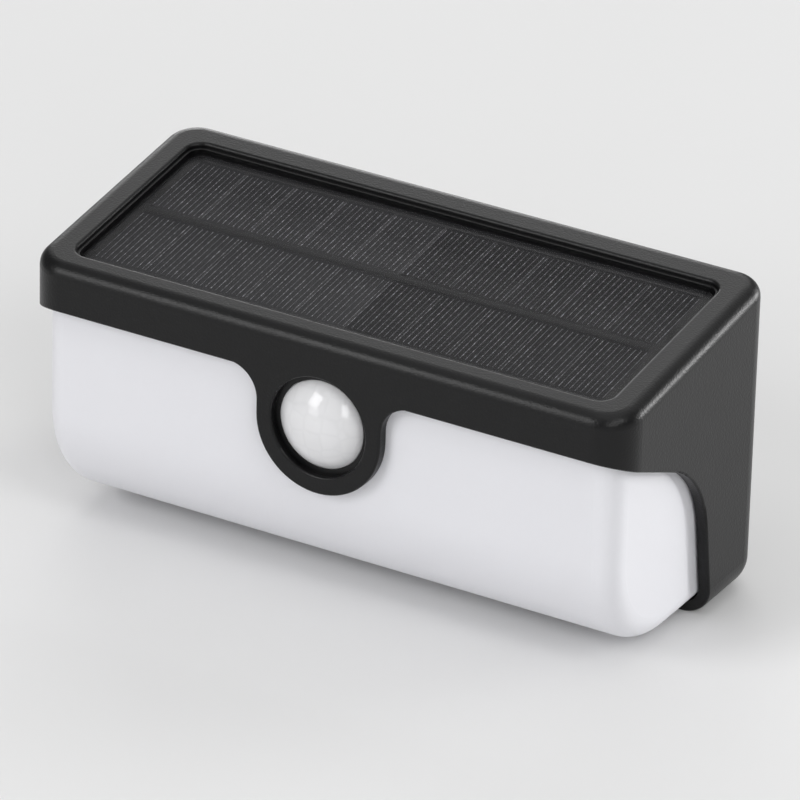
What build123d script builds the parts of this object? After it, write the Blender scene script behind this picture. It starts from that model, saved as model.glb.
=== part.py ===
"""Solar wall light with a motion sensor: a black moulded housing, an opal diffuser and a top solar panel.

The wall is the plane y = 0 and the light faces -Y. The origin lies midway between the two keyholes, on
the wall. Heights in the named values below are measured up from the underside of the housing.
"""
import os
from math import asin, cos, radians, sin, tan

from build123d import *

os.makedirs("parts", exist_ok=True)

# Housing, in millimetres and degrees
width = 180.0
depth = 80.0
back_height = 90.0
top_slope = 7.4
wall = 3.2
roof = 7.0
plan_radius = 10.0
foot_radius = 9.0
top_edge_radius = 4.0
rim_round = 0.6

# Cut-out that the diffuser comes out of: a sloping lip edge, a wide arc and a leaning lower edge
lip_height = 13.2
lip_angle = 23.6
rim_depth = 27.0
rim_lean = 8.5
rim_radius = 33.0

# Sensor tab under the front lip, with a stepped bore for the domed lens
sensor_drop = 12.2
tab_drop = 0.6
tab_radius = 18.7
tab_fillet = 9.0
sensor_bore = 14.2
sensor_bore_depth = 2.4

# Solar window in the sloping top, with a stepped edge and a ledge that carries the panel
window_side_border = 9.15
window_back_border = 10.1
window_front_border = 7.7
window_radius = 4.5
window_rim_radius = 0.9
window_step = 0.8
window_step_depth = 1.3
window_step_radius = 0.25
window_ledge = 3.2

# Solar panel: foam tape, backing board, cells and clear cover
panel_recess = 2.2
panel_gap = 0.25
tape_width = 2.6
tape_thickness = 0.6
backing_thickness = 1.6
cell_thickness = 0.25
cover_sheet = 0.75
cell_columns = 10
cell_rows = 2
cell_margin = 3.0
cell_spacing = 0.5
cell_row_spacing = 2.6

# Diffuser: a pillow with a shallow step in its ends next to the rim and a skirt inside the housing
diffuser_gap = 0.2
diffuser_wall = 2.0
diffuser_edge = 6.6
diffuser_front_radius = 31.5
skirt = 5.0
end_step_band = 5.5
end_step = 0.5
flange_clearance = 0.4

# Motion sensor
lens_radius = 12.5
lens_gap = 0.15
lens_dome = 6.1
lens_shell = 0.8
lens_flange_radius = 13.9
lens_flange = 1.0
holder_flange_radius = 17.2
holder_flange = 1.6
holder_radius = 15.0
holder_bore = 13.2
holder_length = 16.0
holder_shoulder_radius = 9.0
holder_shoulder = 3.0
holder_shoulder_depth = 9.0
pir_board_gap = 0.3
pir_can_radius = 4.6
pir_can_height = 4.2
pir_can_brim = 0.5
pir_screw_circle = 11.1
sensor_notch = 9.0
sensor_lead_rise = 9.0

# Back opening and back cover
keyhole_drop = 25.0
keyhole_spacing = 100.0
keyhole_entry = 4.5
keyhole_slot = 2.25
keyhole_run = 9.0
keyhole_pocket_radius = 5.3
keyhole_pocket_depth = 5.0
keyhole_pocket_wall = 1.5
cover_side_border = 15.0
cover_top_border = 9.0
cover_bottom = 10.5
cover_radius = 6.0
cover_gap = 0.3
cover_thickness = 3.2
cover_ledge = 5.0
cover_bevel = 0.5
seal_width = 3.6
seal_thickness = 0.8
back_ledge_thickness = 2.5
back_boss_inset = 8.0
back_boss_radius = 4.0
back_boss_length = 9.0

# Power button and switch
button_height = 24.5
button_radius = 6.0
button_clearance = 0.05
button_travel = 1.5
button_dish_radius = 9.5
button_dish_depth = 1.0
button_dish_round = 0.4
button_dimple_radius = 20.0
button_dimple_depth = 0.5
button_recess = 0.5
button_flange_radius = 7.6
button_flange = 1.1
button_flange_gap = 0.35
button_stem_radius = 2.4
button_stem = 0.7
switch_side = 8.0
switch_floor = 1.5
plunger_radius = 1.6
plunger_clearance = 0.3
plunger_depth = 1.4
plunger_spare = 0.35

# Control board and the parts on it
board_width = 70.0
board_height = 27.0
board_centre = 27.5
board_thickness = 1.6
board_post_radius = 2.6
board_post_inset = 4.0
socket_length = 6.0
socket_height = 6.5
socket_thickness = 4.4
socket_gap = 1.5
chip_length = 10.0
chip_width = 4.0
chip_thickness = 1.6
inductor_radius = 4.0
inductor_height = 4.2
capacitor_radius = 3.0
capacitor_height = 6.0

# Battery and its cradle
battery_radius = 9.2
battery_length = 65.0
battery_drop = 18.5
battery_gap = 0.2
cradle_wall = 1.4
cradle_base = 1.6
cradle_end = 2.0
cradle_end_gap = 2.0
cradle_ear = 6.0
strap_width = 12.0
strap_thickness = 1.0
strap_gap = 0.05

# Reflector, light board and diodes
reflector_thickness = 1.5
reflector_gap = 0.6
reflector_side_gap = 0.4
reflector_screw_inset = 10.5
reflector_boss_radius = 3.4
reflector_boss_length = 8.0
reflector_lip_reach = 20.0
reflector_rim_reach = 24.5
led_board_end_gap = 11.0
led_board_width = 15.0
led_count = 16
led_length = 3.5
led_width = 2.8
led_height = 0.8
led_screw_inset = 11.0
led_row_offset = 4.5

# Screws: shank radius, head radius and head height of the two sizes used
screw_shank = 1.2
screw_head = 2.6
screw_head_height = 1.6
screw_length = 8.0
fine_shank = 0.9
fine_head = 1.8
fine_head_height = 1.2
fine_length = 4.0
screw_clearance = 0.05
head_clearance = 0.25
hole_clearance = 0.3

# Leads
lead_radius = 1.1
lead_bend = 5.0
led_lead_straight = 13.0
led_lead_back = 6.0
led_lead_drop = 5.0
sensor_lead_straight = 15.0
sensor_lead_over = (-30.0, 27.0, 3.0)
sensor_lead_turn = (-52.0, 37.0, -7.0)
sensor_lead_side = 7.0

# Width of the band in which a corner or an edge counts as lying on a stated line
pick = 0.01

# Angles in radians, and the heights and widths that follow from the housing
lip = radians(lip_angle)
lean = radians(rim_lean)
slope = radians(top_slope)
lip_bottom = back_height - depth * tan(slope) - lip_height
sensor_height = lip_bottom - sensor_drop
tab_height = sensor_height - tab_drop
cover_width = width - 2 * cover_side_border
cover_top = back_height - cover_top_border
cover_height = cover_top - cover_bottom
cover_centre = (cover_bottom + cover_top) / 2
keyhole_height = cover_top - keyhole_drop
battery_height = cover_top - battery_drop
cover_inner = -cover_thickness
back_wall = cover_thickness + seal_thickness + back_ledge_thickness
inner_front = -(depth - wall)
diffuser_half = width / 2 - wall - diffuser_gap
window_width = width - 2 * window_side_border
window_length = (depth - window_back_border - window_front_border) / cos(slope)
window_centre = (depth + window_back_border - window_front_border) / 2
panel_depth = panel_recess + cover_sheet + cell_thickness + backing_thickness + tape_thickness
panel_width = window_width - 2 * (window_step + panel_gap)
panel_length = window_length - 2 * (window_step + panel_gap)
panel_radius = window_radius - window_step
led_board_length = width - 2 * (wall + led_board_end_gap)

underside = -keyhole_height
side = Plane((0, 0, underside), x_dir=(0, 1, 0), z_dir=(1, 0, 0))
plan = Plane.XY.offset(underside)


def facing_front(y):
    """Upright plane at a depth y, seen from the front: X to the right, heights up from the underside."""
    return Plane((0, y, underside), x_dir=(1, 0, 0), z_dir=(0, -1, 0))


def top_at(y):
    """Height of the sloping top at a depth y."""
    return back_height + y * tan(slope)


def top_plane(below):
    """Plane parallel to the sloping top, centred on the solar window and lowered by a distance."""
    middle = (0, -window_centre, underside + top_at(-window_centre))
    return Plane(middle, x_dir=(1, 0, 0), z_dir=(0, -sin(slope), cos(slope))).offset(-below)


def side_plane(place, y_part, z_part):
    """Plane across the light at a side-view point (depth, height), facing the given direction."""
    return Plane((0, place.X, underside + place.Y), x_dir=(1, 0, 0), z_dir=(0, y_part, z_part))


def housing_form(inset, back, roof_inset, round_heel=False):
    """The housing's outer form moved in at the sides, front and underside, from a depth at the back.

    Its feet and its upright back edges are rounded, and where asked for, the heel between them too.
    """
    with BuildPart() as form:
        with BuildSketch(facing_front(-back)):
            with Locations((0, inset)):
                Rectangle(width - 2 * inset, back_height, align=(Align.CENTER, Align.MIN))
        extrude(amount=depth - inset - back)
        feet = form.edges().filter_by(Axis.Y).group_by(Axis.Z)[0]
        uprights = form.edges().filter_by(Axis.Z).group_by(Axis.Y)[-1]
        heel = form.faces().sort_by(Axis.Y)[-1].edges().sort_by(Axis.Z)[:1]
        fillet(feet + uprights + (heel if round_heel else []), foot_radius - inset)
        with BuildSketch(plan) as plan_view:
            with Locations((0, -back)):
                Rectangle(width - 2 * inset, depth - inset - back, align=(Align.CENTER, Align.MAX))
            fillet(plan_view.vertices().group_by(Axis.Y)[0], plan_radius - inset)
        extrude(amount=2 * back_height, mode=Mode.INTERSECT)
        with BuildSketch(side):
            with BuildLine():
                Polyline(
                    (0, 0),
                    (0, top_at(0) - roof_inset),
                    (-depth, top_at(-depth) - roof_inset),
                    (-depth, 0),
                    close=True,
                )
            make_face()
        extrude(amount=width, both=True, mode=Mode.INTERSECT)
    return form


def rim_points(shift, band=0.0):
    """Far start, virtual corner and far end of the cut-out's edge, moved into the housing by a shift.

    A band moves only the leaning lower edge forward.
    """
    start = Vector(-depth, lip_bottom) + Vector(sin(lip), cos(lip)) * shift
    end = Vector(-rim_depth - band, 0) + Vector(cos(lean), sin(lean)) * shift
    run = (end.X - start.X + tan(lean) * (end.Y - start.Y)) / (cos(lip) - sin(lip) * tan(lean))
    corner = start + Vector(cos(lip), -sin(lip)) * run
    far_start = start + Vector(-cos(lip), sin(lip)) * depth
    far_end = end + Vector(sin(lean), -cos(lean)) * depth
    return far_start, corner, far_end


def rim_prism(shift, band=0.0):
    """All the space in front of and below the cut-out's edge, moved by a shift and a band as above."""
    far_start, corner, far_end = rim_points(shift, band)
    with BuildPart() as prism:
        with BuildSketch(side):
            with BuildLine():
                FilletPolyline(far_start, corner, far_end, radius=rim_radius + shift)
                Polyline(far_end, (far_start.X, far_end.Y), far_start)
            make_face()
        extrude(amount=width, both=True)
    return prism


def reflector_points(shift):
    """Side-view points of the reflector's face: the lip run, a flat panel across the arc and the rim run."""
    far_start, corner, far_end = rim_points(shift)
    turn = radians(90 - lip_angle - rim_lean)
    cut = (rim_radius + shift) * (tan(turn / 2) - tan(turn / 4))
    upper = corner + Vector(-cos(lip), sin(lip)) * cut
    lower = corner + Vector(sin(lean), -cos(lean)) * cut
    return far_start, upper, lower, far_end


def screws(plane, places, shank, head, head_height, length):
    """Round-head screws at places on a plane that faces the way their heads do."""
    with BuildPart() as group:
        with BuildSketch(plane):
            with Locations(*places):
                Circle(head)
        extrude(amount=head_height)
        crowns = group.edges().group_by(Axis(plane.origin, plane.z_dir))[-1]
        fillet(crowns, head_height / 2)
        with BuildSketch(plane):
            with Locations(*places):
                Circle(shank)
        extrude(amount=-length)
    return group


def lead(points):
    """A two-core lead along straight runs and tangent arcs."""
    with BuildPart() as cable:
        with BuildLine() as route:
            FilletPolyline(*points, radius=lead_bend)
        with BuildSketch(Plane(route.line @ 0, z_dir=route.line % 0)):
            Circle(lead_radius)
        sweep()
    return cable


def save(piece, name):
    """Names a finished piece and writes it."""
    piece.part.label = name
    export_step(piece.part, f"parts/{name}.step")


# Places that several pieces share
reflector_shift = skirt + reflector_gap
reflector_back = reflector_shift + reflector_thickness
screw_x = width / 2 - reflector_screw_inset
lip_direction = Vector(cos(lip), -sin(lip))
lip_inward = Vector(sin(lip), cos(lip))
rim_inward = Vector(cos(lean), sin(lean))
lip_seat = Vector(-depth, lip_bottom) + lip_direction * reflector_lip_reach
rim_seat = rim_points(0)[1] + Vector(sin(lean), -cos(lean)) * reflector_rim_reach
panel_turn = lip + radians(90 - lip_angle - rim_lean) / 2
plunger_bore = plunger_depth + button_travel + 2 * plunger_clearance
switch_height = plunger_bore + switch_floor
button_length = button_flange_gap + button_flange + button_stem
board_post = button_length + button_travel + plunger_spare + switch_height
board_back = cover_inner - board_post
board_front = board_back - board_thickness
board_posts = [
    (x * (board_width / 2 - board_post_inset), board_centre + z * (board_height / 2 - board_post_inset))
    for x in (-1, 1)
    for z in (-1, 1)
]
cover_screws = [
    (x * (cover_width / 2 - back_boss_inset), cover_centre + z * (cover_height / 2 - back_boss_inset))
    for x in (-1, 1)
    for z in (-1, 1)
]
battery_y = cover_inner - cradle_base - battery_gap - battery_radius
cradle_half = battery_radius + battery_gap + cradle_wall
cradle_length = battery_length + 2 * (cradle_end_gap + cradle_end)
cradle_screws = [(x * (cradle_length + cradle_ear) / 2, battery_height) for x in (-1, 1)]
keyholes = [(x * keyhole_spacing / 2, keyhole_height) for x in (-1, 1)]
slot_middles = [(x, z + keyhole_run / 2) for x, z in keyholes]
lens_hole = lens_radius + lens_gap

# Round sensor tab, blended into the lip
with BuildPart() as sensor_tab:
    with BuildSketch(facing_front(inner_front)) as tab:
        with Locations((0, tab_height)):
            Circle(tab_radius)
            Rectangle(2 * tab_radius, lip_bottom - tab_height, align=(Align.CENTER, Align.MIN))
        with Locations((0, lip_bottom)):
            Rectangle(2 * (tab_radius + tab_fillet + rim_round), wall, align=(Align.CENTER, Align.MIN))
        inner_corners = tab.vertices().filter_by_position(Axis.Y, lip_bottom - pick, lip_bottom + pick)
        fillet(inner_corners.sort_by(Axis.X)[1:3], tab_fillet)
    extrude(amount=wall)
    outline = sensor_tab.faces().sort_by(Axis.Y)[0].edges()
    fillet(outline.filter_by(lambda e: e.center().Z < underside + lip_bottom - pick), rim_round)

# Housing
with BuildPart() as housing:
    add(housing_form(0, 0, 0, round_heel=True).part)
    fillet(housing.faces().sort_by(Axis.Z)[-1].edges(), top_edge_radius)
    add(housing_form(wall, back_wall, roof).part, mode=Mode.SUBTRACT)
    add(rim_prism(0).part, mode=Mode.SUBTRACT)
    arcs = housing.edges().filter_by(GeomType.CIRCLE)
    rim_arcs = arcs.filter_by(lambda e: abs(e.radius - rim_radius) < rim_round).sort_by(Axis.X)
    fillet([rim_arcs[0], rim_arcs[-1]], rim_round)
    add(sensor_tab.part)
    with BuildSketch(facing_front(-depth)):
        with Locations((0, sensor_height)):
            Circle(sensor_bore)
    extrude(amount=-sensor_bore_depth, mode=Mode.SUBTRACT)
    with BuildSketch(facing_front(-depth)):
        with Locations((0, sensor_height)):
            Circle(lens_hole)
    extrude(amount=-2 * wall, mode=Mode.SUBTRACT)
    arcs = housing.edges().filter_by(GeomType.CIRCLE)
    bore_edges = arcs.filter_by(lambda e: abs(e.radius - sensor_bore) < rim_round)
    fillet(bore_edges.group_by(Axis.Y)[0], rim_round)
    # Room for the sensor holder's flange under the roof
    with BuildSketch(facing_front(inner_front)):
        with Locations((0, sensor_height)):
            Circle(holder_flange_radius + flange_clearance)
    extrude(amount=-holder_length, mode=Mode.SUBTRACT)
    # Stepped solar window
    with BuildSketch(top_plane(0)):
        RectangleRounded(window_width, window_length, window_radius)
    extrude(amount=-window_step_depth, mode=Mode.SUBTRACT)
    upward = Axis(top_plane(0).origin, top_plane(0).z_dir)
    top_ring = housing.faces().filter_by(top_plane(0)).sort_by(upward)[-1]
    fillet(top_ring.inner_wires()[0].edges(), window_rim_radius)
    with BuildSketch(top_plane(0)):
        RectangleRounded(window_width - 2 * window_step, window_length - 2 * window_step, panel_radius)
    extrude(amount=-panel_depth, mode=Mode.SUBTRACT)
    step_ring = housing.faces().filter_by(top_plane(0)).sort_by(upward)[-2]
    fillet(step_ring.inner_wires()[0].edges(), window_step_radius)
    with BuildSketch(top_plane(0)):
        RectangleRounded(panel_width - 2 * window_ledge, panel_length - 2 * window_ledge, panel_radius)
    extrude(amount=-2 * roof, mode=Mode.SUBTRACT)
    # Recess and opening for the back cover, and the bosses that its screws go into
    with BuildSketch(facing_front(0)):
        with Locations((0, cover_centre)):
            RectangleRounded(
                cover_width + 2 * cover_gap, cover_height + 2 * cover_gap, cover_radius + cover_gap
            )
    extrude(amount=cover_thickness + seal_thickness, mode=Mode.SUBTRACT)
    chamfer(housing.faces().sort_by(Axis.Y)[-1].inner_wires()[0].edges(), cover_bevel)
    with BuildSketch(facing_front(0)):
        with Locations((0, cover_centre)):
            RectangleRounded(cover_width - 2 * cover_ledge, cover_height - 2 * cover_ledge, cover_radius)
    extrude(amount=2 * back_wall, mode=Mode.SUBTRACT)
    with BuildSketch(facing_front(cover_inner)):
        with Locations(*cover_screws):
            Circle(back_boss_radius)
    extrude(amount=back_boss_length)
    with BuildSketch(facing_front(cover_inner)):
        with Locations(*cover_screws):
            Circle(screw_shank + screw_clearance)
    extrude(amount=screw_length, mode=Mode.SUBTRACT)
    # Webbed bosses that carry the reflector
    for seat, inward in ((lip_seat, lip_inward), (rim_seat, rim_inward)):
        boss_plane = side_plane(seat + inward * reflector_back, inward.X, inward.Y)
        with BuildSketch(boss_plane):
            for hand in (-1, 1):
                with Locations((hand * screw_x, 0)):
                    Circle(reflector_boss_radius)
                with Locations((hand * (screw_x + width / 2) / 2, 0)):
                    Rectangle(reflector_screw_inset - wall / 2, reflector_boss_radius)
        extrude(amount=reflector_boss_length)
        with BuildSketch(boss_plane):
            with Locations((-screw_x, 0), (screw_x, 0)):
                Circle(screw_shank + screw_clearance)
        extrude(amount=screw_length, mode=Mode.SUBTRACT)
save(housing, "housing")

# Solar panel, laid up from the ledge
tape_top = panel_depth - tape_thickness
backing_top = tape_top - backing_thickness
cell_top = backing_top - cell_thickness
with BuildPart() as solar_tape:
    with BuildSketch(top_plane(panel_depth)):
        RectangleRounded(panel_width, panel_length, panel_radius)
        RectangleRounded(
            panel_width - 2 * tape_width, panel_length - 2 * tape_width, panel_radius, mode=Mode.SUBTRACT
        )
    extrude(amount=tape_thickness)
save(solar_tape, "solar_tape")

with BuildPart() as solar_backing:
    with BuildSketch(top_plane(tape_top)):
        RectangleRounded(panel_width, panel_length, panel_radius)
    extrude(amount=backing_thickness)
save(solar_backing, "solar_backing")

cell_pitch = (panel_width - 2 * cell_margin) / cell_columns
row_pitch = (panel_length - 2 * cell_margin + cell_row_spacing) / cell_rows
with BuildPart() as solar_cells:
    with BuildSketch(top_plane(backing_top)):
        with GridLocations(cell_pitch, row_pitch, cell_columns, cell_rows):
            Rectangle(cell_pitch - cell_spacing, row_pitch - cell_row_spacing)
    extrude(amount=cell_thickness)
save(solar_cells, "solar_cells")

with BuildPart() as solar_cover:
    with BuildSketch(top_plane(cell_top)):
        RectangleRounded(panel_width, panel_length, panel_radius)
    extrude(amount=cover_sheet)
    fillet(solar_cover.faces().sort_by(Axis.Z)[-1].edges(), cover_sheet / 3)
save(solar_cover, "solar_cover")


def pillow(inset):
    """The diffuser's full form up to the housing's height, moved in by an inset all round."""
    front = inner_front + diffuser_gap + inset
    floor = wall + diffuser_gap + inset
    with BuildPart() as form:
        with BuildSketch(side) as profile:
            with Locations((-back_wall, floor)):
                Rectangle(-back_wall - front, back_height - floor, align=(Align.MAX, Align.MIN))
            fillet(profile.vertices().group_by(Axis.X)[0].sort_by(Axis.Y)[0], diffuser_front_radius - inset)
        extrude(amount=diffuser_half - inset, both=True)
        ends = form.faces().filter_by(Axis.X).edges()
        below_top = ends.filter_by_position(Axis.Z, underside, underside + back_height - pick)
        fillet(below_top.filter_by_position(Axis.Y, -depth, -back_wall - pick), diffuser_edge - inset)
    return form


# Diffuser, with its ends stepped in along the leaning edge of the rim
with BuildPart() as end_steps:
    for half, mode in ((width / 2, Mode.ADD), (diffuser_half - end_step, Mode.SUBTRACT)):
        with BuildSketch(side):
            Rectangle(2 * depth, 2 * back_height)
        extrude(amount=half, both=True, mode=mode)
    add(rim_prism(0, end_step_band).part, mode=Mode.SUBTRACT)
with BuildPart() as diffuser:
    add(pillow(0).part)
    add(end_steps.part, mode=Mode.SUBTRACT)
    add(rim_prism(skirt).part, mode=Mode.INTERSECT)
    add(pillow(diffuser_wall).part, mode=Mode.SUBTRACT)
    with BuildSketch(facing_front(-depth)):
        with Locations((0, sensor_height)):
            Circle(holder_flange_radius + flange_clearance)
    extrude(amount=-depth / 4, mode=Mode.SUBTRACT)
save(diffuser, "diffuser")

# Motion sensor: domed lens, holder tube, board and sensing can, all on one axis
lens_front = depth - sensor_bore_depth
holder_rear = inner_front + holder_length
shoulder_rear = inner_front + holder_flange + holder_shoulder_depth + holder_shoulder
sensor_section = Plane((0, 0, underside + sensor_height), x_dir=(0, -1, 0), z_dir=(1, 0, 0))
sensor_axis = Axis((0, 0, underside + sensor_height), (0, -1, 0))


def dome_arc(radius, rise):
    """Half of a domed section, from its edge on the lens front to its crown on the sensor axis."""
    sphere = (radius**2 + rise**2) / (2 * rise)
    centre = lens_front + rise - sphere
    half_way = asin(radius / sphere) / 2
    return ThreePointArc(
        (lens_front, radius),
        (centre + sphere * cos(half_way), sphere * sin(half_way)),
        (lens_front + rise, 0),
    )


with BuildPart() as pir_lens:
    with BuildSketch(sensor_section):
        with BuildLine():
            outer_dome = dome_arc(lens_radius, lens_dome)
            inner_dome = dome_arc(lens_radius - lens_shell, lens_dome - lens_shell)
            Line(outer_dome @ 1, inner_dome @ 1)
            Polyline(
                inner_dome @ 0,
                (-inner_front - lens_flange, lens_radius - lens_shell),
                (-inner_front - lens_flange, lens_flange_radius),
                (-inner_front, lens_flange_radius),
                (-inner_front, lens_radius),
                outer_dome @ 0,
            )
        make_face()
    revolve(axis=sensor_axis)
save(pir_lens, "pir_lens")

pir_screw_places = [(-pir_screw_circle, sensor_height), (pir_screw_circle, sensor_height)]
with BuildPart() as pir_holder:
    with BuildSketch(sensor_section):
        with BuildLine():
            Polyline(
                (-inner_front, holder_flange_radius),
                (-inner_front, lens_flange_radius + lens_gap),
                (-inner_front - lens_flange, lens_flange_radius + lens_gap),
                (-inner_front - lens_flange, holder_bore),
                (-shoulder_rear + holder_shoulder, holder_bore),
                (-shoulder_rear + holder_shoulder, holder_shoulder_radius),
                (-shoulder_rear, holder_shoulder_radius),
                (-shoulder_rear, holder_bore),
                (-holder_rear, holder_bore),
                (-holder_rear, holder_radius),
                (-inner_front - holder_flange, holder_radius),
                (-inner_front - holder_flange, holder_flange_radius),
                close=True,
            )
        make_face()
    revolve(axis=sensor_axis)
    with BuildSketch(facing_front(shoulder_rear)):
        with Locations(*pir_screw_places):
            Circle(fine_shank + screw_clearance)
    extrude(amount=holder_shoulder, mode=Mode.SUBTRACT)
save(pir_holder, "pir_holder")

pir_board_rear = shoulder_rear + board_thickness
with BuildPart() as pir_board:
    with BuildSketch(facing_front(shoulder_rear)):
        with Locations((0, sensor_height)):
            Circle(holder_bore - pir_board_gap)
        with Locations(*pir_screw_places):
            Circle(fine_shank + hole_clearance, mode=Mode.SUBTRACT)
    extrude(amount=-board_thickness)
save(pir_board, "pir_board")

with BuildPart() as pir_sensor:
    with BuildSketch(facing_front(shoulder_rear)):
        with Locations((0, sensor_height)):
            Circle(pir_can_radius)
    extrude(amount=pir_can_brim)
    with BuildSketch(facing_front(shoulder_rear - pir_can_brim)):
        with Locations((0, sensor_height)):
            Circle(pir_can_radius - pir_can_brim)
    extrude(amount=pir_can_height - pir_can_brim)
    with BuildSketch(facing_front(shoulder_rear - pir_can_height)):
        with Locations((0, sensor_height)):
            Rectangle(pir_can_radius, pir_can_radius * 3 / 4)
    extrude(amount=-pir_can_brim / 2, mode=Mode.SUBTRACT)
save(pir_sensor, "pir_sensor")

pir_board_screws = screws(
    Plane((0, pir_board_rear, underside), x_dir=(-1, 0, 0), z_dir=(0, 1, 0)),
    pir_screw_places,
    fine_shank,
    fine_head,
    fine_head_height,
    fine_length,
)
save(pir_board_screws, "pir_board_screws")

# Reflector: a bent white plate that closes off the light chamber
led_front = reflector_points(reflector_shift)
led_middle = (led_front[1] + led_front[2]) / 2
led_plane = side_plane(led_middle, -sin(panel_turn), -cos(panel_turn))
led_screw_places = [(x * (led_board_length / 2 - led_screw_inset), 0) for x in (-1, 0, 1)]
led_lead_place = (led_board_length / 2 - 2 * led_row_offset, -led_row_offset)
reflector_screw_places = [(-screw_x, 0), (screw_x, 0)]
with BuildPart() as reflector:
    with BuildSketch(side):
        with BuildLine():
            rear_points = reversed(reflector_points(reflector_back))
            Polyline(*reflector_points(reflector_shift), *rear_points, close=True)
        make_face()
    extrude(amount=width, both=True)
    add(housing_form(wall + reflector_side_gap, back_wall, roof).part, mode=Mode.INTERSECT)
    with BuildSketch(facing_front(-depth)):
        with Locations((0, sensor_height)):
            Circle(holder_flange_radius + flange_clearance)
    extrude(amount=-(depth + holder_rear + sensor_notch), mode=Mode.SUBTRACT)
    for seat, inward in ((lip_seat, lip_inward), (rim_seat, rim_inward)):
        with BuildSketch(side_plane(seat + inward * reflector_shift, inward.X, inward.Y)):
            with Locations(*reflector_screw_places):
                Circle(screw_shank + hole_clearance)
        extrude(amount=reflector_thickness, mode=Mode.SUBTRACT)
    with BuildSketch(led_plane):
        with Locations(*led_screw_places):
            Circle(fine_shank + screw_clearance)
        with Locations(led_lead_place):
            Circle(lead_radius + hole_clearance)
    extrude(amount=-2 * reflector_thickness, mode=Mode.SUBTRACT)
save(reflector, "reflector")

with BuildPart() as reflector_screws:
    for seat, inward in ((lip_seat, lip_inward), (rim_seat, rim_inward)):
        seat_plane = side_plane(seat + inward * reflector_shift, -inward.X, -inward.Y)
        pair = screws(
            seat_plane, reflector_screw_places, screw_shank, screw_head, screw_head_height, screw_length
        )
        add(pair.part)
save(reflector_screws, "reflector_screws")

# Light board with its row of diodes
with BuildPart() as led_board:
    with BuildSketch(led_plane):
        Rectangle(led_board_length, led_board_width)
        with Locations(*led_screw_places):
            Circle(fine_shank + hole_clearance, mode=Mode.SUBTRACT)
    extrude(amount=board_thickness)
save(led_board, "led_board")

led_face = led_plane.offset(board_thickness)
with BuildPart() as leds:
    with BuildSketch(led_face):
        with Locations((0, led_row_offset)):
            with GridLocations(led_board_length / led_count, 0, led_count, 1):
                Rectangle(led_length, led_width)
    extrude(amount=led_height)
save(leds, "leds")

led_board_screws = screws(led_face, led_screw_places, fine_shank, fine_head, fine_head_height, fine_length)
save(led_board_screws, "led_board_screws")

# Back cover with keyhole pockets, board posts and a dished button hole
with BuildPart() as back_cover:
    with BuildSketch(facing_front(0)):
        with Locations((0, cover_centre)):
            RectangleRounded(cover_width, cover_height, cover_radius)
    extrude(amount=cover_thickness)
    chamfer(back_cover.faces().sort_by(Axis.Y)[-1].edges(), cover_bevel)
    with BuildSketch(facing_front(cover_inner)):
        with Locations(*slot_middles):
            pocket_height = 2 * (keyhole_pocket_radius + keyhole_pocket_wall)
            SlotCenterToCenter(keyhole_run, pocket_height, rotation=90)
    extrude(amount=keyhole_pocket_depth + keyhole_pocket_wall)
    with BuildSketch(facing_front(cover_inner)):
        with Locations(*slot_middles):
            SlotCenterToCenter(keyhole_run, 2 * keyhole_pocket_radius, rotation=90)
    extrude(amount=keyhole_pocket_depth, mode=Mode.SUBTRACT)
    with BuildSketch(facing_front(0)):
        with Locations(*keyholes):
            Circle(keyhole_entry)
        with Locations(*slot_middles):
            SlotCenterToCenter(keyhole_run, 2 * keyhole_slot, rotation=90)
    extrude(amount=cover_thickness, mode=Mode.SUBTRACT)
    with BuildSketch(facing_front(cover_inner)):
        with Locations(*board_posts):
            Circle(board_post_radius)
    extrude(amount=board_post)
    with BuildSketch(facing_front(board_back)):
        with Locations(*board_posts):
            Circle(fine_shank + screw_clearance)
    extrude(amount=-fine_length, mode=Mode.SUBTRACT)
    with BuildSketch(facing_front(cover_inner)):
        with Locations(*cradle_screws):
            Circle(fine_shank + screw_clearance)
    extrude(amount=-(fine_length - cradle_base), mode=Mode.SUBTRACT)
    with BuildSketch(facing_front(0)):
        with Locations(*cover_screws):
            Circle(screw_head + head_clearance)
    extrude(amount=screw_head_height + head_clearance, mode=Mode.SUBTRACT)
    with BuildSketch(facing_front(0)):
        with Locations(*cover_screws):
            Circle(screw_shank + hole_clearance)
    extrude(amount=cover_thickness, mode=Mode.SUBTRACT)
    with BuildSketch(facing_front(0)):
        with Locations((0, button_height)):
            Circle(button_dish_radius)
    extrude(amount=button_dish_depth, mode=Mode.SUBTRACT)
    rounds = back_cover.edges().filter_by(GeomType.CIRCLE)
    dish_edges = rounds.filter_by(lambda e: abs(e.radius - button_dish_radius) < pick)
    fillet(dish_edges.group_by(Axis.Y)[-1], button_dish_round)
    with BuildSketch(facing_front(0)):
        with Locations((0, button_height)):
            Circle(button_radius + button_clearance)
    extrude(amount=cover_thickness, mode=Mode.SUBTRACT)
save(back_cover, "back_cover")

with BuildPart() as back_seal:
    with BuildSketch(facing_front(cover_inner)):
        with Locations((0, cover_centre)):
            RectangleRounded(cover_width, cover_height, cover_radius)
            RectangleRounded(
                cover_width - 2 * seal_width,
                cover_height - 2 * seal_width,
                cover_radius - seal_width / 2,
                mode=Mode.SUBTRACT,
            )
    extrude(amount=seal_thickness)
save(back_seal, "back_seal")

screw_seat = -(screw_head_height + head_clearance)
back_screws = screws(
    Plane((0, screw_seat, underside), x_dir=(-1, 0, 0), z_dir=(0, 1, 0)),
    cover_screws,
    screw_shank,
    screw_head,
    screw_head_height,
    screw_length,
)
save(back_screws, "back_screws")

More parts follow.
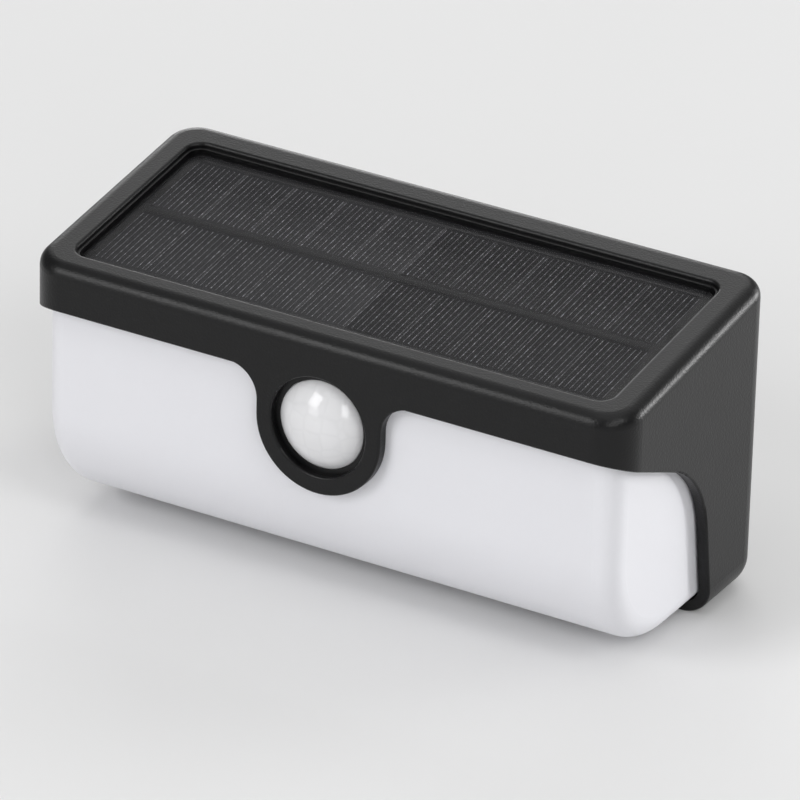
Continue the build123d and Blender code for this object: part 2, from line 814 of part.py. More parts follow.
# Power button, pressed from behind, and the latching switch that it works
button_back = cover_inner - button_flange_gap
stem_end = cover_inner - button_length
switch_top = board_back + switch_height
with BuildPart() as power_button:
    with BuildSketch(facing_front(-button_recess)):
        with Locations((0, button_height)):
            Circle(button_radius)
    extrude(amount=-button_recess - button_back)
    fillet(power_button.faces().sort_by(Axis.Y)[-1].edges(), button_recess)
    dimple_centre = button_dimple_radius - button_recess - button_dimple_depth
    with Locations((0, dimple_centre, underside + button_height)):
        Sphere(button_dimple_radius, mode=Mode.SUBTRACT)
    with BuildSketch(facing_front(button_back)):
        with Locations((0, button_height)):
            Circle(button_flange_radius)
    extrude(amount=button_flange)
    with BuildSketch(facing_front(button_back - button_flange)):
        with Locations((0, button_height)):
            Circle(button_stem_radius)
    extrude(amount=button_stem)
save(power_button, "power_button")

with BuildPart() as switch_plunger:
    with BuildSketch(facing_front(stem_end)):
        with Locations((0, button_height)):
            Circle(plunger_radius)
    extrude(amount=stem_end - switch_top + plunger_depth)
save(switch_plunger, "switch_plunger")

with BuildPart() as switch_body:
    with BuildSketch(facing_front(switch_top)):
        with Locations((0, button_height)):
            RectangleRounded(switch_side, switch_side, plunger_clearance)
    extrude(amount=switch_height)
    with BuildSketch(facing_front(switch_top)):
        with Locations((0, button_height)):
            Circle(plunger_radius + plunger_clearance)
    extrude(amount=plunger_bore, mode=Mode.SUBTRACT)
save(switch_body, "switch_body")

# Control board and the parts on it
with BuildPart() as control_board:
    with BuildSketch(facing_front(board_back)):
        with Locations((0, board_centre)):
            Rectangle(board_width, board_height)
        with Locations(*board_posts):
            Circle(fine_shank + hole_clearance, mode=Mode.SUBTRACT)
    extrude(amount=board_thickness)
save(control_board, "control_board")

control_board_screws = screws(
    facing_front(board_front), board_posts, fine_shank, fine_head, fine_head_height, fine_length
)
save(control_board_screws, "control_board_screws")

with BuildPart() as control_chip:
    with BuildSketch(facing_front(board_front)):
        with Locations((0, board_centre)):
            Rectangle(chip_length, chip_width)
    extrude(amount=chip_thickness)
save(control_chip, "control_chip")

with BuildPart() as inductor:
    with BuildSketch(facing_front(board_front)):
        with Locations((-board_width / 5, board_centre)):
            Circle(inductor_radius)
    extrude(amount=inductor_height)
    fillet(inductor.faces().sort_by(Axis.Y)[0].edges(), inductor_height / 6)
save(inductor, "inductor")

with BuildPart() as capacitor:
    with BuildSketch(facing_front(board_front)):
        with Locations((board_width / 5, board_centre)):
            Circle(capacitor_radius)
    extrude(amount=capacitor_height)
    fillet(capacitor.faces().sort_by(Axis.Y)[0].edges(), capacitor_radius / 6)
save(capacitor, "capacitor")

socket_x = board_width / 2 - socket_length / 2
socket_spread = socket_height + socket_gap
with BuildPart() as lead_sockets:
    with BuildSketch(facing_front(board_front)):
        with Locations((0, board_centre)):
            with GridLocations(2 * socket_x, socket_spread, 2, 2):
                Rectangle(socket_length, socket_height)
    extrude(amount=socket_thickness)
save(lead_sockets, "lead_sockets")

# Battery cell in its cradle, with a strap round both
strap_centre = battery_y - battery_radius + cradle_half
with BuildPart() as battery_cradle:
    with BuildSketch(facing_front(cover_inner)):
        with Locations((0, battery_height)):
            Rectangle(cradle_length, 2 * cradle_half)
    extrude(amount=cover_inner - strap_centre)
    with BuildSketch(facing_front(cover_inner)):
        with Locations((0, battery_height)):
            Rectangle(cradle_length + 2 * cradle_ear, cradle_half)
    extrude(amount=cradle_base)
    with BuildSketch(Plane((0, battery_y, underside + battery_height), x_dir=(0, 1, 0), z_dir=(1, 0, 0))):
        Circle(battery_radius + battery_gap)
    extrude(amount=battery_length / 2 + cradle_end_gap, both=True, mode=Mode.SUBTRACT)
    with BuildSketch(facing_front(cover_inner)):
        with Locations(*cradle_screws):
            Circle(fine_shank + hole_clearance)
    extrude(amount=cradle_base, mode=Mode.SUBTRACT)
save(battery_cradle, "battery_cradle")

with BuildPart() as battery_cell:
    with BuildSketch(Plane((0, battery_y, underside + battery_height), x_dir=(0, 1, 0), z_dir=(1, 0, 0))):
        Circle(battery_radius)
    extrude(amount=battery_length / 2, both=True)
    fillet(battery_cell.edges().filter_by(GeomType.CIRCLE), battery_radius / 9)
save(battery_cell, "battery_cell")

with BuildPart() as battery_strap:
    with BuildSketch(Plane((0, 0, underside + battery_height), x_dir=(0, 1, 0), z_dir=(1, 0, 0))):
        strap_inside = cradle_half + strap_gap
        for radius, mode in ((strap_inside + strap_thickness, Mode.ADD), (strap_inside, Mode.SUBTRACT)):
            with Locations((strap_centre, 0)):
                Circle(radius, mode=mode)
                Rectangle(cover_inner - strap_centre, 2 * radius, align=(Align.MIN, Align.CENTER), mode=mode)
        with Locations((cover_inner, 0)):
            Rectangle(depth, depth, align=(Align.MIN, Align.CENTER), mode=Mode.SUBTRACT)
    extrude(amount=strap_width / 2, both=True)
save(battery_strap, "battery_strap")

battery_screws = screws(
    facing_front(cover_inner - cradle_base),
    cradle_screws,
    fine_shank,
    fine_head,
    fine_head_height,
    fine_length,
)
save(battery_screws, "battery_screws")

# Leads from the board's sockets to the panel, the battery, the light board and the sensor
socket_y = board_front - socket_thickness / 2
low_socket = underside + board_centre - socket_spread / 2
high_socket = underside + board_centre + socket_spread / 2
socket_face = board_width / 2
lead_side = socket_face + 2 * lead_bend
panel_joint = top_plane(tape_top).from_local_coords((lead_side, 0, 0))
panel_approach = top_plane(tape_top).from_local_coords((lead_side, 0, -2 * lead_bend))
solar_lead = lead(
    [
        (socket_face, socket_y, high_socket),
        (lead_side, socket_y, high_socket),
        (lead_side, battery_y, underside + battery_height),
        panel_approach,
        panel_joint,
    ]
)
save(solar_lead, "solar_lead")

battery_lead = lead(
    [
        (-socket_face, socket_y, high_socket),
        (-lead_side, socket_y, high_socket),
        (-lead_side, battery_y, underside + battery_height),
        (-battery_length / 2, battery_y, underside + battery_height),
    ]
)
save(battery_lead, "battery_lead")

led_joint = led_plane.from_local_coords((*led_lead_place, 0))
led_approach = led_plane.from_local_coords((*led_lead_place, -led_lead_straight))
led_lead = lead(
    [
        (socket_face, socket_y, low_socket),
        (led_joint.X, socket_y, low_socket),
        (led_joint.X, led_approach.Y + led_lead_back, led_approach.Z - led_lead_drop),
        led_approach,
        led_joint,
    ]
)
save(led_lead, "led_lead")

sensor_joint = Vector(0, pir_board_rear, underside + sensor_height + sensor_lead_rise)
sensor_lead = lead(
    [
        sensor_joint,
        sensor_joint + Vector(0, sensor_lead_straight, 0),
        sensor_joint + Vector(*sensor_lead_over),
        sensor_joint + Vector(*sensor_lead_turn),
        (-lead_side - sensor_lead_side, socket_y, low_socket),
        (-socket_face, socket_y, low_socket),
    ]
)
save(sensor_lead, "sensor_lead")
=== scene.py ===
"""Solar wall light with a motion sensor: finishes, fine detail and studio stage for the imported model."""
import math

import bmesh
import bpy
from bpy.props import FloatProperty, FloatVectorProperty, IntProperty, PointerProperty
from mathutils import Matrix, Vector


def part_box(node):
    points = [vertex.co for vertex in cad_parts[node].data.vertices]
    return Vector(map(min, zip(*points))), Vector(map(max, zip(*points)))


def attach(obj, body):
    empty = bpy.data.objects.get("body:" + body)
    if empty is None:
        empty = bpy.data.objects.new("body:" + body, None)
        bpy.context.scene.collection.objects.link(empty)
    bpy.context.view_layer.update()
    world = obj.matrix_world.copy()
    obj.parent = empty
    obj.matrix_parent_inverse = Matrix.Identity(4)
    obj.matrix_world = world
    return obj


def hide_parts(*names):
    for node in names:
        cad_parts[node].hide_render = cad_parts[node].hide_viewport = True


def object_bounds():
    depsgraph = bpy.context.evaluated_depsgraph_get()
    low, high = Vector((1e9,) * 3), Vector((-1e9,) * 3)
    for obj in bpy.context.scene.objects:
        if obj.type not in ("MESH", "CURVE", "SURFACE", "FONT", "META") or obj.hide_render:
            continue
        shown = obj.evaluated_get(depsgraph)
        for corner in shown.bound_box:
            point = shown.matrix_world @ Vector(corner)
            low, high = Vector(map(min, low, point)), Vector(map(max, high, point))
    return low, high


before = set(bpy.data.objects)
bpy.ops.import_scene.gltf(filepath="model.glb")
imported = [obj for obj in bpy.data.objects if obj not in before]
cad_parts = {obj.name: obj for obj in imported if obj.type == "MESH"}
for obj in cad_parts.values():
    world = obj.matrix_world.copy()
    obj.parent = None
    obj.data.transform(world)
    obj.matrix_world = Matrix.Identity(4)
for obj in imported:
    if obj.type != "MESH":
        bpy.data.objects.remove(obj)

bl_info = {
    "name": "Solar Wall Light",
    "version": (1, 0, 0),
    "blender": (4, 5, 0),
    "location": "View3D > Sidebar > Wall Light",
    "description": "Finishes and fine detail of a solar wall light with a motion sensor",
    "category": "Object",
}

MM = 0.001
CAD_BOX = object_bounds()

# Fall of the solar panel from the wall to the front edge
TOP_SLOPE = math.radians(7.4)


def linear(code):
    """Linear red, green and blue of an sRGB hex colour."""
    shades = [int(code[i : i + 2], 16) / 255 for i in (1, 3, 5)]
    return tuple(s / 12.92 if s <= 0.04045 else ((s + 0.055) / 1.055) ** 2.4 for s in shades)


def per(size):
    """Texture scale that makes one period of a pattern a given size, in metres."""
    return 1 / size


def add_node(tree, kind, inputs=None, **settings):
    """Adds a node, makes its settings, and fills its inputs with values or with links from sockets."""
    node = tree.nodes.new(kind)
    for name, value in settings.items():
        setattr(node, name, value)
    for key, value in (inputs or {}).items():
        if isinstance(value, bpy.types.NodeSocket):
            tree.links.new(value, node.inputs[key])
        else:
            node.inputs[key].default_value = value
    return node


# Sizes and colours that a user would change


class PanelSizes(bpy.types.PropertyGroup):
    """Solar cells and the printed lines on them"""

    columns: IntProperty(name="Columns", description="Cells along the panel", default=10)
    rows: IntProperty(name="Rows", description="Cells from front to back", default=2)
    cell_gap: FloatProperty(
        name="Cell gap", description="Gap between neighbouring cells", default=0.5 * MM, unit="LENGTH"
    )
    row_gap: FloatProperty(
        name="Row gap", description="Plain strip between the rows", default=2.6 * MM, unit="LENGTH"
    )
    fingers: IntProperty(name="Fingers", description="Printed lines on one cell", default=10)
    finger_pitch: FloatProperty(
        name="Finger pitch", description="Distance between printed lines", default=1.6 * MM, unit="LENGTH"
    )
    finger_width: FloatProperty(
        name="Finger width", description="Width of a printed line", default=0.13 * MM, unit="LENGTH"
    )
    finger_margin: FloatProperty(
        name="Finger margin", description="Bare end of a cell", default=1.1 * MM, unit="LENGTH"
    )
    finger_height: FloatProperty(
        name="Finger height", description="Thickness of a printed line", default=0.03 * MM, unit="LENGTH"
    )
    cell_height: FloatProperty(
        name="Cell height", description="Thickness of a cell", default=0.25 * MM, unit="LENGTH"
    )


class ScrewSizes(bpy.types.PropertyGroup):
    """Cross-recessed screws that hold the back cover"""

    head: FloatProperty(name="Head", description="Radius of the head", default=2.6 * MM, unit="LENGTH")
    crown: FloatProperty(name="Crown", description="Height of the head", default=1.6 * MM, unit="LENGTH")
    arm: FloatProperty(name="Arm", description="Reach of the cross", default=1.55 * MM, unit="LENGTH")
    slot: FloatProperty(name="Slot", description="Width of the cross", default=0.75 * MM, unit="LENGTH")
    recess: FloatProperty(name="Recess", description="Depth of the cross", default=1.0 * MM, unit="LENGTH")
    shank: FloatProperty(name="Shank", description="Radius of the shank", default=1.2 * MM, unit="LENGTH")


class Finishes(bpy.types.PropertyGroup):
    """Main colours of the light, and the grain of its black mouldings"""

    housing: FloatVectorProperty(
        name="Housing", description="Moulded black", subtype="COLOR", default=linear("#0d0d0e")
    )
    diffuser: FloatVectorProperty(
        name="Diffuser", description="Opal white", subtype="COLOR", default=linear("#e9e9ee")
    )
    lens: FloatVectorProperty(
        name="Lens", description="Milky white", subtype="COLOR", default=linear("#e8e8ea")
    )
    grain: FloatProperty(
        name="Grain", description="Grain of the moulded texture", default=0.55 * MM, unit="LENGTH"
    )


class WallLight(bpy.types.PropertyGroup):
    """All settings of the wall light"""

    panel: PointerProperty(name="Panel", description="Solar cells", type=PanelSizes)
    screws: PointerProperty(name="Screws", description="Back cover screws", type=ScrewSizes)
    finishes: PointerProperty(name="Finishes", description="Main colours", type=Finishes)


# Materials

# Socket numbers of a Mix node that mixes colours
MIX_FACTOR = 0
MIX_FIRST = 6
MIX_SECOND = 7
MIX_RESULT = 2


def new_material(name, constants):
    """A material with one Principled shader, whose constant inputs are set on its own sockets."""
    material = bpy.data.materials.new(name)
    material.use_nodes = True
    shader = material.node_tree.nodes["Principled BSDF"]
    for key, value in constants.items():
        socket = shader.inputs[key]
        socket.default_value = (*value, 1.0) if socket.type == "RGBA" else value
    return material, material.node_tree, shader


def black_abs(name, colour, grain, roughness):
    """Black ABS from a spark-eroded mould."""
    # The mould leaves a fine even grain, which breaks up highlights and keeps the flats satin.
    # The real grain is finer than a pixel, so it is drawn coarse enough to show.
    material, tree, shader = new_material(
        name, {"Base Color": colour, "IOR": 1.53, "Specular IOR Level": 0.265}
    )
    place = add_node(tree, "ShaderNodeTexCoord").outputs["Object"]
    grains = add_node(
        tree, "ShaderNodeTexNoise", {"Vector": place, "Scale": per(grain), "Detail": 1.0, "Roughness": 0.5}
    )
    cloud = 18 * MM
    drift = 0.03
    clouds = add_node(tree, "ShaderNodeTexNoise", {"Vector": place, "Scale": per(cloud), "Detail": 2.0})
    spread = add_node(
        tree,
        "ShaderNodeMapRange",
        {"Value": clouds.outputs["Fac"], "To Min": roughness - drift, "To Max": roughness + drift},
    )
    bump = add_node(
        tree, "ShaderNodeBump", {"Height": grains.outputs["Fac"], "Strength": 0.8, "Distance": 0.08 * MM}
    )
    tree.links.new(spread.outputs["Result"], shader.inputs["Roughness"])
    tree.links.new(bump.outputs["Normal"], shader.inputs["Normal"])
    return material


def opal_polycarbonate(name, colour):
    """White polycarbonate with a light-spreading filler, moulded."""
    # The filler scatters light inside, so edges glow softly and shadows never go deep.
    material, tree, shader = new_material(
        name,
        {
            "Base Color": colour,
            "Roughness": 0.38,
            "IOR": 1.58,
            "Specular IOR Level": 0.35,
            "Subsurface Weight": 0.25,
            "Subsurface Scale": 6 * MM,
            "Subsurface Radius": (1.0, 1.0, 1.0),
        },
    )
    place = add_node(tree, "ShaderNodeTexCoord").outputs["Object"]
    wave = 14 * MM
    ripple = add_node(tree, "ShaderNodeTexNoise", {"Vector": place, "Scale": per(wave), "Detail": 1.0})
    bump = add_node(
        tree, "ShaderNodeBump", {"Height": ripple.outputs["Fac"], "Strength": 0.1, "Distance": 0.2 * MM}
    )
    tree.links.new(bump.outputs["Normal"], shader.inputs["Normal"])
    return material


def milky_polyethylene(name, colour, facet):
    """Milky high-density polyethylene, moulded thin with lens facets on its inner side."""
    # The smooth outside mirrors the lamps, and the facets inside show as faint darker joints.
    material, tree, shader = new_material(
        name,
        {
            "Roughness": 0.07,
            "IOR": 1.54,
            "Specular IOR Level": 0.4,
            "Subsurface Weight": 0.3,
            "Subsurface Scale": 3 * MM,
            "Subsurface Radius": (1.0, 1.0, 1.0),
        },
    )
    place = add_node(tree, "ShaderNodeTexCoord").outputs["Object"]
    facets = add_node(
        tree,
        "ShaderNodeTexVoronoi",
        {"Vector": place, "Scale": per(facet), "Randomness": 0.35},
        feature="DISTANCE_TO_EDGE",
    )
    joint = add_node(tree, "ShaderNodeMapRange", {"Value": facets.outputs["Distance"], "From Max": 0.12})
    joint_shade = 0.965
    joint_colour = [part * joint_shade for part in colour]
    tint = add_node(
        tree,
        "ShaderNodeMix",
        {MIX_FACTOR: joint.outputs["Result"], MIX_FIRST: (*joint_colour, 1.0), MIX_SECOND: (*colour, 1.0)},
        data_type="RGBA",
    )
    tree.links.new(tint.outputs[MIX_RESULT], shader.inputs["Base Color"])
    return material


def two_tone(name, dark, pale, drift, constants, bump_height=0.02 * MM):
    """A finish whose colour drifts between two close shades, with a fine unevenness of the same size."""
    material, tree, shader = new_material(name, constants)
    place = add_node(tree, "ShaderNodeTexCoord").outputs["Object"]
    clouds = add_node(tree, "ShaderNodeTexNoise", {"Vector": place, "Scale": per(drift), "Detail": 3.0})
    first = (*linear(dark), 1.0)
    second = (*linear(pale), 1.0)
    shade = add_node(
        tree,
        "ShaderNodeMix",
        {MIX_FACTOR: clouds.outputs["Fac"], MIX_FIRST: first, MIX_SECOND: second},
        data_type="RGBA",
    )
    unevenness = {"Height": clouds.outputs["Fac"], "Strength": 0.2, "Distance": bump_height}
    bump = add_node(tree, "ShaderNodeBump", unevenness)
    tree.links.new(shade.outputs[MIX_RESULT], shader.inputs["Base Color"])
    tree.links.new(bump.outputs["Normal"], shader.inputs["Normal"])
    return material


def silver_paste(name, dim, bright, glint_size):
    """Silver paste, screen-printed in fine lines."""
    # The printed lines are beaded, so they glint in dots; the glints are painted into the colour as pale
    # dots, drawn coarse enough to show.
    material, tree, shader = new_material(name, {"Roughness": 0.4, "Metallic": 0.3})
    place = add_node(tree, "ShaderNodeTexCoord").outputs["Object"]
    painted_glints = add_node(tree, "ShaderNodeTexNoise", {"Vector": place, "Scale": per(glint_size), "Detail": 1.0})
    # Where the noise is high the colour turns pale: painted glints on the grey lines.
    glint_mask = add_node(
        tree, "ShaderNodeMapRange", {"Value": painted_glints.outputs["Fac"], "From Min": 0.5, "From Max": 0.72}
    )
    first = (*linear(dim), 1.0)
    second = (*linear(bright), 1.0)
    shade = add_node(
        tree,
        "ShaderNodeMix",
        {MIX_FACTOR: glint_mask.outputs["Result"], MIX_FIRST: first, MIX_SECOND: second},
        data_type="RGBA",
    )
    tree.links.new(shade.outputs[MIX_RESULT], shader.inputs["Base Color"])
    return material


def printed_board(name, mask, track, pitch):
    """Circuit board with copper tracks under a coloured solder mask."""
    # The tracks show as slightly paler lanes under the glossy mask.
    material, tree, shader = new_material(name, {"Roughness": 0.35, "IOR": 1.5})
    place = add_node(tree, "ShaderNodeTexCoord").outputs["Object"]
    lanes = add_node(
        tree,
        "ShaderNodeTexBrick",
        {
            "Vector": place,
            "Color1": (*linear(mask), 1.0),
            "Color2": (*linear(mask), 1.0),
            "Mortar": (*linear(track), 1.0),
            "Scale": per(pitch),
            "Mortar Size": 0.08,
        },
    )
    tree.links.new(lanes.outputs["Color"], shader.inputs["Base Color"])
    return material


def finish_nodes(material, *nodes):
    """Gives CAD nodes a finish without touching their shapes."""
    for node in nodes:
        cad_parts[node].material_slots[0].material = material


# Shapes


def row_layout():
    """Node tree that sets out copies of a shape in rows about the origin, on the XY plane."""
    tree = bpy.data.node_groups.new("row_layout", "GeometryNodeTree")
    tree.interface.new_socket("Geometry", in_out="INPUT", socket_type="NodeSocketGeometry")
    for name in ("Columns", "Rows"):
        tree.interface.new_socket(name, in_out="INPUT", socket_type="NodeSocketInt")
    for name in ("Column Pitch", "Row Pitch"):
        tree.interface.new_socket(name, in_out="INPUT", socket_type="NodeSocketFloat")
    tree.interface.new_socket("Material", in_out="INPUT", socket_type="NodeSocketMaterial")
    tree.interface.new_socket("Geometry", in_out="OUTPUT", socket_type="NodeSocketGeometry")
    given = add_node(tree, "NodeGroupInput").outputs
    spans = {}
    for count, pitch in (("Columns", "Column Pitch"), ("Rows", "Row Pitch")):
        steps = add_node(tree, "ShaderNodeMath", {0: given[count], 1: 1.0}, operation="SUBTRACT")
        length = add_node(
            tree, "ShaderNodeMath", {0: steps.outputs[0], 1: given[pitch]}, operation="MULTIPLY"
        )
        spans[count] = length.outputs[0]
    places = add_node(
        tree,
        "GeometryNodeMeshGrid",
        {
            "Size X": spans["Columns"],
            "Size Y": spans["Rows"],
            "Vertices X": given["Columns"],
            "Vertices Y": given["Rows"],
        },
    )
    copies = add_node(
        tree,
        "GeometryNodeInstanceOnPoints",
        {"Points": places.outputs["Mesh"], "Instance": given["Geometry"]},
    )
    joined = add_node(tree, "GeometryNodeRealizeInstances", {"Geometry": copies.outputs["Instances"]})
    finished = add_node(
        tree,
        "GeometryNodeSetMaterial",
        {"Geometry": joined.outputs["Geometry"], "Material": given["Material"]},
    )
    add_node(tree, "NodeGroupOutput", {"Geometry": finished.outputs["Geometry"]})
    return tree


def set_out(shape, tree, columns, rows, column_pitch, row_pitch, material):
    """Adds the row layout to a shape's object, with its inputs set by their identifiers."""
    layout = shape.modifiers.new("layout", "NODES")
    layout.node_group = tree
    values = {
        "Columns": columns,
        "Rows": rows,
        "Column Pitch": column_pitch,
        "Row Pitch": row_pitch,
        "Material": material,
    }
    for item in tree.interface.items_tree:
        if item.in_out == "INPUT" and item.name in values:
            layout[item.identifier] = values[item.name]


def settle(piece, place):
    """Turns the piece's modifiers into a plain mesh and moves that mesh to its place."""
    evaluated = piece.evaluated_get(bpy.context.evaluated_depsgraph_get())
    mesh = bpy.data.meshes.new_from_object(evaluated)
    piece.modifiers.clear()
    piece.data = mesh
    mesh.transform(place)
    mesh.name = piece.name


def new_piece(name, shape):
    """Puts a built shape into the scene as a named piece."""
    mesh = bpy.data.meshes.new(name)
    shape.to_mesh(mesh)
    shape.free()
    piece = bpy.data.objects.new(name, mesh)
    bpy.context.scene.collection.objects.link(piece)
    return piece


def middle(node):
    """Middle of a CAD node's box."""
    low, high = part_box(node)
    return (low + high) / 2


def span(node):
    """Size of a CAD node's box."""
    low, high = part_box(node)
    return high - low


def bar_shape(size):
    """A straight bar about the origin."""
    shape = bmesh.new()
    bmesh.ops.create_cube(shape, size=1.0)
    bmesh.ops.scale(shape, vec=size, verts=shape.verts)
    return shape


def screw_shape(sizes):
    """A pan-head screw along Z with a cross recess, its seat at the origin."""
    shape = bmesh.new()
    around = 96
    steps = 18
    # Width of the sloping walls of the cross
    slope = 0.25 * MM
    # The head falls by a small share of its height up to flat_share of its radius, and then rounds off
    flat_share = 0.6
    flat_drop = 0.04
    edge_drop = 0.75
    shank_length = 4 * sizes.crown

    def height(x, y):
        share = min(math.hypot(x, y) / sizes.head, 1.0)
        drop = edge_drop * share**6 if share > flat_share else flat_drop * share
        long = max(abs(x), abs(y))
        short = min(abs(x), abs(y))
        inside = min(sizes.arm - long, sizes.slot / 2 - short)
        return sizes.crown * (1 - drop) - sizes.recess * min(max(inside / slope, 0.0), 1.0)

    turns = [2 * math.pi * k / around for k in range(around)]
    circle = [(math.cos(turn), math.sin(turn)) for turn in turns]
    rings = []
    for step in range(1, steps + 1):
        radius = sizes.head * step / steps
        ring = [(radius * x, radius * y) for x, y in circle]
        rings.append([shape.verts.new((x, y, height(x, y))) for x, y in ring])
    pole = shape.verts.new((0, 0, height(0, 0)))
    for radius, depth in ((sizes.head, 0.0), (sizes.shank, 0.0), (sizes.shank, -shank_length)):
        rings.append([shape.verts.new((radius * x, radius * y, depth)) for x, y in circle])
    for k in range(around):
        shape.faces.new((pole, rings[0][k], rings[0][(k + 1) % around]))
    for inner, outer in zip(rings, rings[1:]):
        for k in range(around):
            n = (k + 1) % around
            shape.faces.new((inner[k], outer[k], outer[n], inner[n]))
    shape.faces.new(reversed(rings[-1]))
    bmesh.ops.recalc_face_normals(shape, faces=shape.faces)
    return shape


class WALLLIGHT_OT_moulded(bpy.types.Operator):
    """Finishes the housing, the back cover, the diffuser, the sensor lens and the button"""

    bl_idname = "wall_light.moulded"
    bl_label = "Moulded parts"

    def execute(self, context):
        looks = context.scene.wall_light.finishes
        black = black_abs("abs_black_spark_eroded", looks.housing, looks.grain, roughness=0.35)
        finish_nodes(black, "housing", "back_cover")
        opal = opal_polycarbonate("polycarbonate_opal_moulded", looks.diffuser)
        finish_nodes(opal, "diffuser")
        milky = milky_polyethylene("polyethylene_milky_moulded", looks.lens, facet=5 * MM)
        finish_nodes(milky, "pir_lens")
        # Silicone takes the mould's matt face and gathers a little dust.
        rubber = two_tone("silicone_black_moulded", "#1d1d1f", "#262628", 1.2 * MM, {"Roughness": 0.7})
        finish_nodes(rubber, "power_button")
        return {"FINISHED"}


class WALLLIGHT_OT_panel(bpy.types.Operator):
    """Finishes the solar panel, and makes the printed lines and the fill around its cells"""

    bl_idname = "wall_light.panel"
    bl_label = "Solar panel"

    def execute(self, context):
        sizes = context.scene.wall_light.panel
        # Etched silicon is a velvet near-black that shifts a little over the panel.
        sheen = {"Roughness": 0.25, "Specular IOR Level": 0.17}
        silicon = two_tone("silicon_etched", "#101014", "#15151a", 9 * MM, sheen)
        finish_nodes(silicon, "solar_cells")
        # The backing is printed black and shows only at its edges.
        backing = two_tone("fr4_black_masked", "#161618", "#1b1b1d", 6 * MM, {"Roughness": 0.5})
        finish_nodes(backing, "solar_backing")
        # The film's fine embossing turns mirror reflections into a soft sheen.
        gloss = {"Roughness": 0.22, "Alpha": 0.12, "Specular IOR Level": 0.2}
        film = two_tone("pet_film_laminated", "#18181a", "#1c1c1e", 0.6 * MM, gloss)
        finish_nodes(film, "solar_cover")
        cells = span("solar_cells")
        pitch = (cells.x + sizes.cell_gap) / sizes.columns
        row_pitch = (cells.y / math.cos(TOP_SLOPE) + sizes.row_gap) / sizes.rows
        cell_length = row_pitch - sizes.row_gap
        tree = row_layout()
        place = Matrix.Translation(middle("solar_cells")) @ Matrix.Rotation(TOP_SLOPE, 4, "X")
        line_size = (sizes.finger_width, cell_length - 2 * sizes.finger_margin, sizes.finger_height)
        lines = new_piece("cell_fingers", bar_shape(line_size))
        # The grey is the paste's own colour; the pale shade is painted glints.
        silver = silver_paste("silver_paste_printed", "#4c4c50", "#cacad0", 0.55 * MM)
        set_out(lines, tree, sizes.fingers, 1, sizes.finger_pitch, 0.0, silver)
        set_out(lines, tree, sizes.columns, sizes.rows, pitch, row_pitch, silver)
        settle(lines, place @ Matrix.Translation((0, 0, sizes.cell_height / 2)))
        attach(lines, "base")
        # Cured encapsulant lies level with the cells, so that no step shows between them.
        cured = {"Roughness": 0.25, "Specular IOR Level": 0.24}
        resin = two_tone("eva_encapsulant_cured", "#1c1c1e", "#202022", 5 * MM, cured)
        edge = sizes.row_gap
        length = row_pitch * sizes.rows
        between = sizes.columns - 1
        # Name, width and length of a bar, columns, rows, and the pitch of each
        fills = (
            ("row_fill", cells.x, edge, 1, sizes.rows + 1, 0.0, row_pitch),
            ("column_fill", sizes.cell_gap, cell_length, between, sizes.rows, pitch, row_pitch),
            ("end_fill", edge, length, 2, 1, cells.x + edge, 0.0),
        )
        for name, wide, long, columns, rows, column_pitch, fill_pitch in fills:
            fill = new_piece(name, bar_shape((wide, long, sizes.cell_height)))
            set_out(fill, tree, columns, rows, column_pitch, fill_pitch, resin)
            settle(fill, place)
            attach(fill, "base")
        return {"FINISHED"}


class WALLLIGHT_OT_screws(bpy.types.Operator):
    """Makes the four cross-recessed screws of the back cover, and finishes the inner screws"""

    bl_idname = "wall_light.screws"
    bl_label = "Back screws"

    def execute(self, context):
        sizes = context.scene.wall_light.screws
        # Zinc plating over turned steel is a soft grey metal, a little cloudy.
        plating = {"Metallic": 1.0, "Roughness": 0.34}
        zinc = two_tone("steel_zinc_plated", "#8d8f92", "#b9bbbe", 0.8 * MM, plating)
        screws = new_piece("cover_screws", screw_shape(sizes))
        box = span("back_screws")
        centre = middle("back_screws")
        set_out(screws, row_layout(), 2, 2, box.x - 2 * sizes.head, box.z - 2 * sizes.head, zinc)
        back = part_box("back_screws")[1].y
        seat = Vector((centre.x, back - sizes.crown, centre.z))
        settle(screws, Matrix.Translation(seat) @ Matrix.Rotation(-math.pi / 2, 4, "X"))
        for polygon in screws.data.polygons:
            polygon.use_smooth = True
        sharp = math.radians(35)
        screws.data.set_sharp_from_angle(angle=sharp)
        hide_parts("back_screws")
        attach(screws, "base")
        inner = [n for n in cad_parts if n.endswith("_screws") and n != "back_screws"]
        finish_nodes(zinc, *inner)
        return {"FINISHED"}


